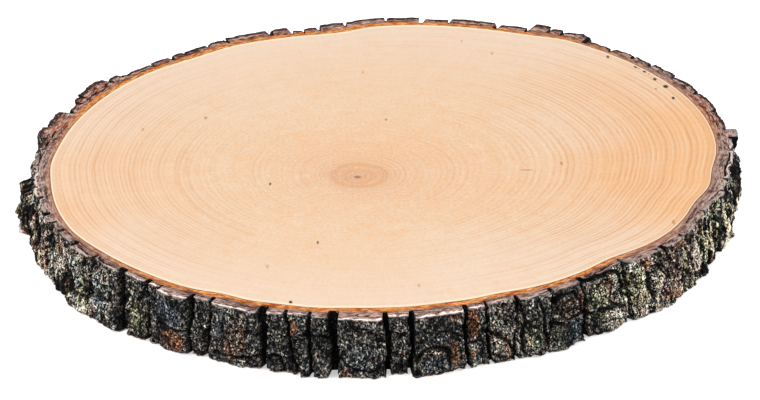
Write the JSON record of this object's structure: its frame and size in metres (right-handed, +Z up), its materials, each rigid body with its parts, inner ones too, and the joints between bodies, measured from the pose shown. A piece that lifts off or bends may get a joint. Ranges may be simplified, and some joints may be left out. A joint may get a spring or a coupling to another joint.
{
  "type": "wood slice",
  "caption": "Round slice sawn across a tree trunk, with flat pale wood faces, growth rings and a rim of furrowed dark bark, for use as a serving board, stand or base.",
  "frame": {"origin": "centre of the slice's outline, on the plane of its lower sawn face", "axes": "+Z up through the thickness, from the lower sawn face to the upper one; +X across the slice's widest way; -Y towards the side that the picture shows in front"},
  "size_m": [0.302, 0.3014, 0.024],
  "materials": {
    "wood": "sanded, bare, matt to slightly satin",
    "inner_bark": "sawn, fibrous, matt",
    "bark": "rough, furrowed, matt"
  },
  "bodies": {
    "root": {"wood_slice": "wood"}
  },
  "joints": []
}
